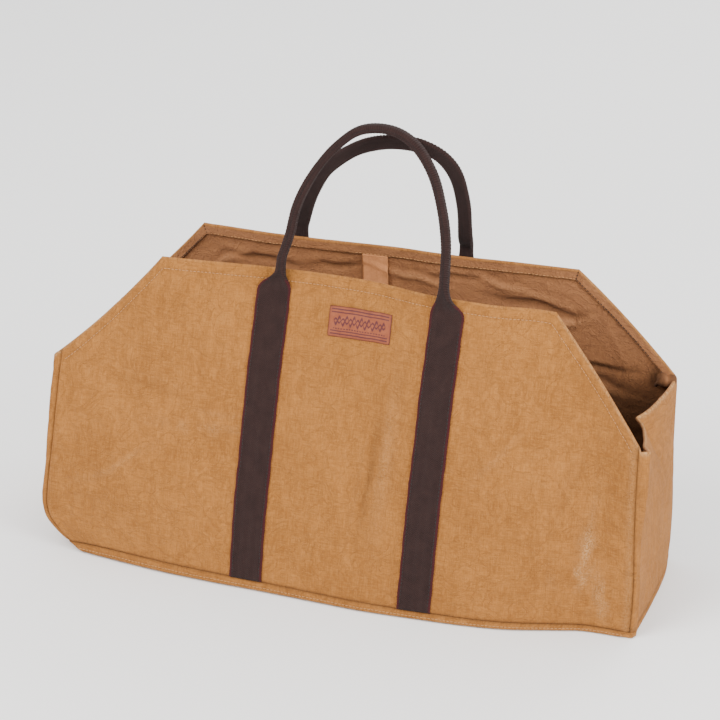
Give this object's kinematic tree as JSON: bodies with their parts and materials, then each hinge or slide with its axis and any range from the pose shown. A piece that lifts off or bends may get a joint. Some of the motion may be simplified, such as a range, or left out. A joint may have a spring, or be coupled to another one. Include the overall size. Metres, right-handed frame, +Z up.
{
  "type": "canvas log carrier",
  "caption": "Open-topped canvas carrier for firewood: slanting ends, closed gussets, flat base, dark webbing straps folded into a pair of carrying handles.",
  "frame": {"origin": "middle of the flat base, on the surface it stands on", "axes": "+Z up, +X along the carrier to the right of someone facing its front, -Y out of the front with the label patch"},
  "size_m": [0.6996, 0.2704, 0.5211],
  "materials": {
    "canvas": "washed heavy canvas, tan",
    "facing": "folded canvas hem, tan",
    "webbing": "dark brown twill webbing",
    "leather": "smooth tan leather",
    "tape": "light brown woven tape"
  },
  "bodies": {
    "root": {"front_panel": "canvas", "rear_panel": "canvas", "left_gusset": "canvas", "right_gusset": "canvas", "bottom_panel": "canvas", "front_hem_top": "facing", "front_hem_left": "facing", "front_hem_right": "facing", "rear_hem_top": "facing", "rear_hem_left": "facing", "rear_hem_right": "facing", "front_webbing": "webbing", "rear_webbing": "webbing", "label_patch": "leather", "inner_tape": "tape"}
  },
  "joints": []
}
